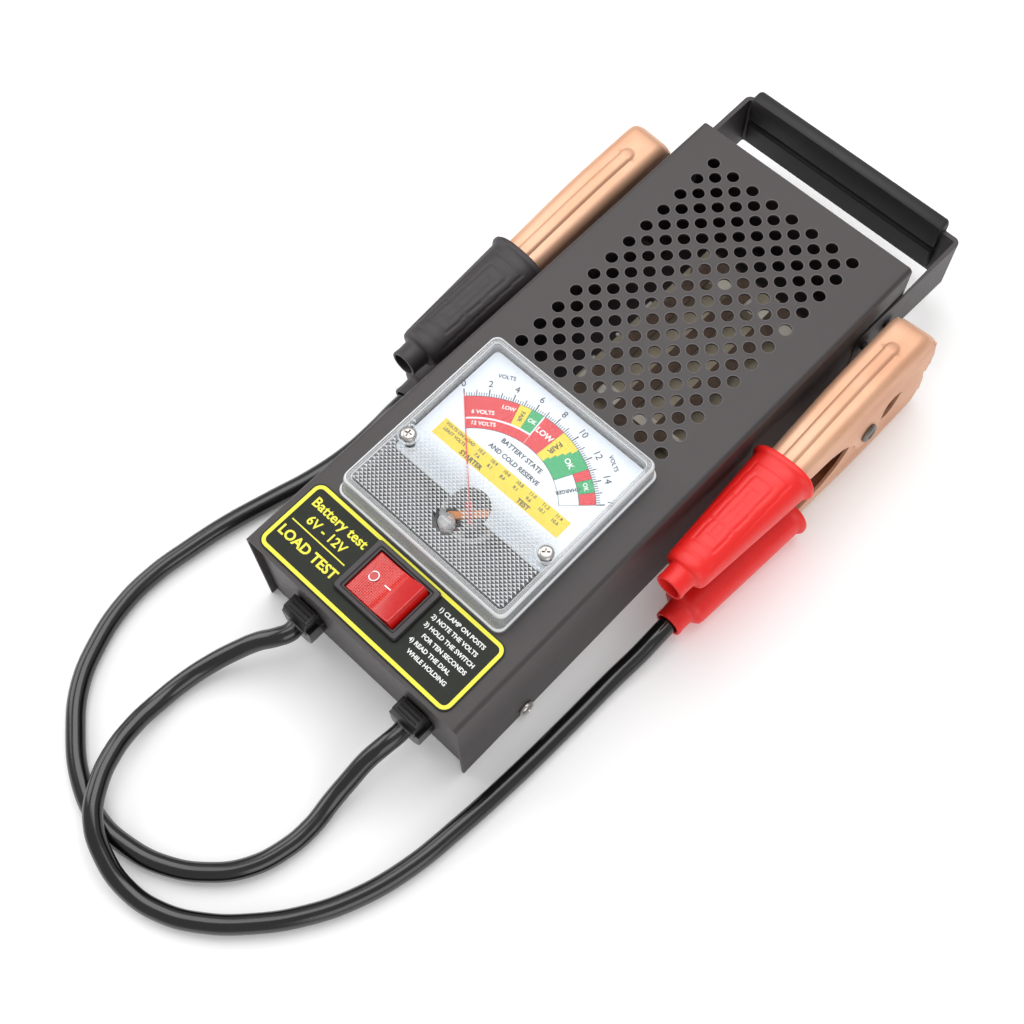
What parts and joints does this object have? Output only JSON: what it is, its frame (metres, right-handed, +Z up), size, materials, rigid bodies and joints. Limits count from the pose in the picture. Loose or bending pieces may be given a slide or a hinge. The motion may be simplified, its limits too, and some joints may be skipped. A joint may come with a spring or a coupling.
{
  "type": "battery tester",
  "caption": "Analogue car-battery load tester: vented steel case with carrying handle, meter and rocker switch, and two leads with copper battery clamps.",
  "frame": {"origin": "centre of the unit's footprint (case, handle and strain reliefs, with the leads and clamps left out), on the surface it rests on", "axes": "+X to the user's right, +Y from the lead entries towards the carrying handle, +Z up out of the meter face"},
  "size_m": [0.1783, 0.4061, 0.0649],
  "materials": {
    "case_paint": "fine textured warm dark grey powder coat",
    "label_film": "printed satin film, dark green-black with a yellow border",
    "black_rubber": "satin moulded rubber",
    "clear_acrylic": "clear moulded acrylic",
    "black_moulding": "matt moulded plastic",
    "dial_card": "printed white card with red, yellow and green bands",
    "magnet_iron": "bare sintered magnet and iron core",
    "coil_wire": "enamelled winding",
    "pointer_red": "red lacquer",
    "rocker_red": "glossy translucent red",
    "terminal_brass": "bright brass",
    "insulation_board": "matt fibre board",
    "ceramic_bar": "unglazed",
    "resistance_ribbon": "heat-oxidised brown",
    "plated_steel": "bright zinc plate",
    "lead_red": "satin insulation",
    "cord_black": "satin jacket",
    "copper_plate": "satin copper plate",
    "spring_steel": "oiled spring steel",
    "boot_red": "satin dipped vinyl",
    "boot_black": "satin moulded vinyl"
  },
  "bodies": {
    "unit": {"top_cover": "case_paint", "base_tray": "case_paint", "cover_screw_left_front": "plated_steel", "cover_screw_left_rear": "plated_steel", "cover_screw_right_front": "plated_steel", "cover_screw_right_rear": "plated_steel", "label_plate": "label_film", "handle_strap": "case_paint", "handle_grip": "black_rubber", "handle_screw_left_front": "case_paint", "handle_screw_left_rear": "case_paint", "handle_screw_right_front": "case_paint", "handle_screw_right_rear": "case_paint", "meter_cover": "clear_acrylic", "meter_housing": "black_moulding", "meter_dial": "dial_card", "meter_magnet": "magnet_iron", "meter_screw_left": "plated_steel", "meter_screw_right": "plated_steel", "meter_stud_left": "terminal_brass", "meter_stud_right": "terminal_brass", "switch_housing": "black_moulding", "switch_terminal_supply": "terminal_brass", "switch_terminal_load": "terminal_brass", "load_board": "insulation_board", "load_bar_front": "ceramic_bar", "load_bar_rear": "ceramic_bar", "load_ribbon": "resistance_ribbon", "load_post_supply": "plated_steel", "load_post_return": "plated_steel", "lead_supply": "lead_red", "lead_load": "lead_red", "lead_return": "cord_black", "meter_lead_plus": "lead_red", "meter_lead_minus": "cord_black", "strain_relief_left": "black_moulding", "strain_relief_right": "black_moulding", "cable_red": "cord_black", "cable_black": "cord_black", "red_jaw_lower": "copper_plate", "red_boot_lower": "boot_red", "red_pivot_pin": "spring_steel", "red_spring": "spring_steel", "black_jaw_lower": "copper_plate", "black_boot_lower": "boot_black", "black_pivot_pin": "spring_steel", "black_spring": "spring_steel"},
    "rocker": {"switch_rocker": "rocker_red"},
    "movement": {"meter_pointer": "pointer_red", "meter_coil": "coil_wire"},
    "zero_screw": {"zero_adjuster": "clear_acrylic"},
    "red_upper_half": {"red_jaw_upper": "copper_plate", "red_boot_upper": "boot_red"},
    "black_upper_half": {"black_jaw_upper": "copper_plate", "black_boot_upper": "boot_black"}
  },
  "joints": [
    {"name": "rocker_press", "type": "hinge", "parent": "unit", "child": "rocker", "pos_m": [-0.0007, -0.1217, 0.0522], "axis": [0, 1, 0], "range_deg": [0, 20], "stiffness_Nm_per_rad": 0.12, "springref_deg": -20.05},
    {"name": "pointer_swing", "type": "hinge", "parent": "unit", "child": "movement", "pos_m": [-0.0012, -0.0798, 0.0586], "axis": [0, 0, -1], "range_deg": [0, 90], "stiffness_Nm_per_rad": 0.00006, "springref_deg": -2.86},
    {"name": "zero_adjust_turn", "type": "hinge", "parent": "unit", "child": "zero_screw", "pos_m": [-0.0012, -0.0909, 0.064], "axis": [0, 0, 1], "range_deg": [-45, 45]},
    {"name": "red_clamp_open", "type": "hinge", "parent": "unit", "child": "red_upper_half", "pos_m": [0.0693, 0.058, 0.0247], "axis": [0.9962, 0, 0.0872], "range_deg": [0, 10.5], "stiffness_Nm_per_rad": 1.4, "springref_deg": -34.38},
    {"name": "black_clamp_open", "type": "hinge", "parent": "unit", "child": "black_upper_half", "pos_m": [-0.0693, 0.058, 0.0247], "axis": [0.9962, 0, -0.0872], "range_deg": [0, 10.5], "stiffness_Nm_per_rad": 1.4, "springref_deg": -34.38}
  ]
}
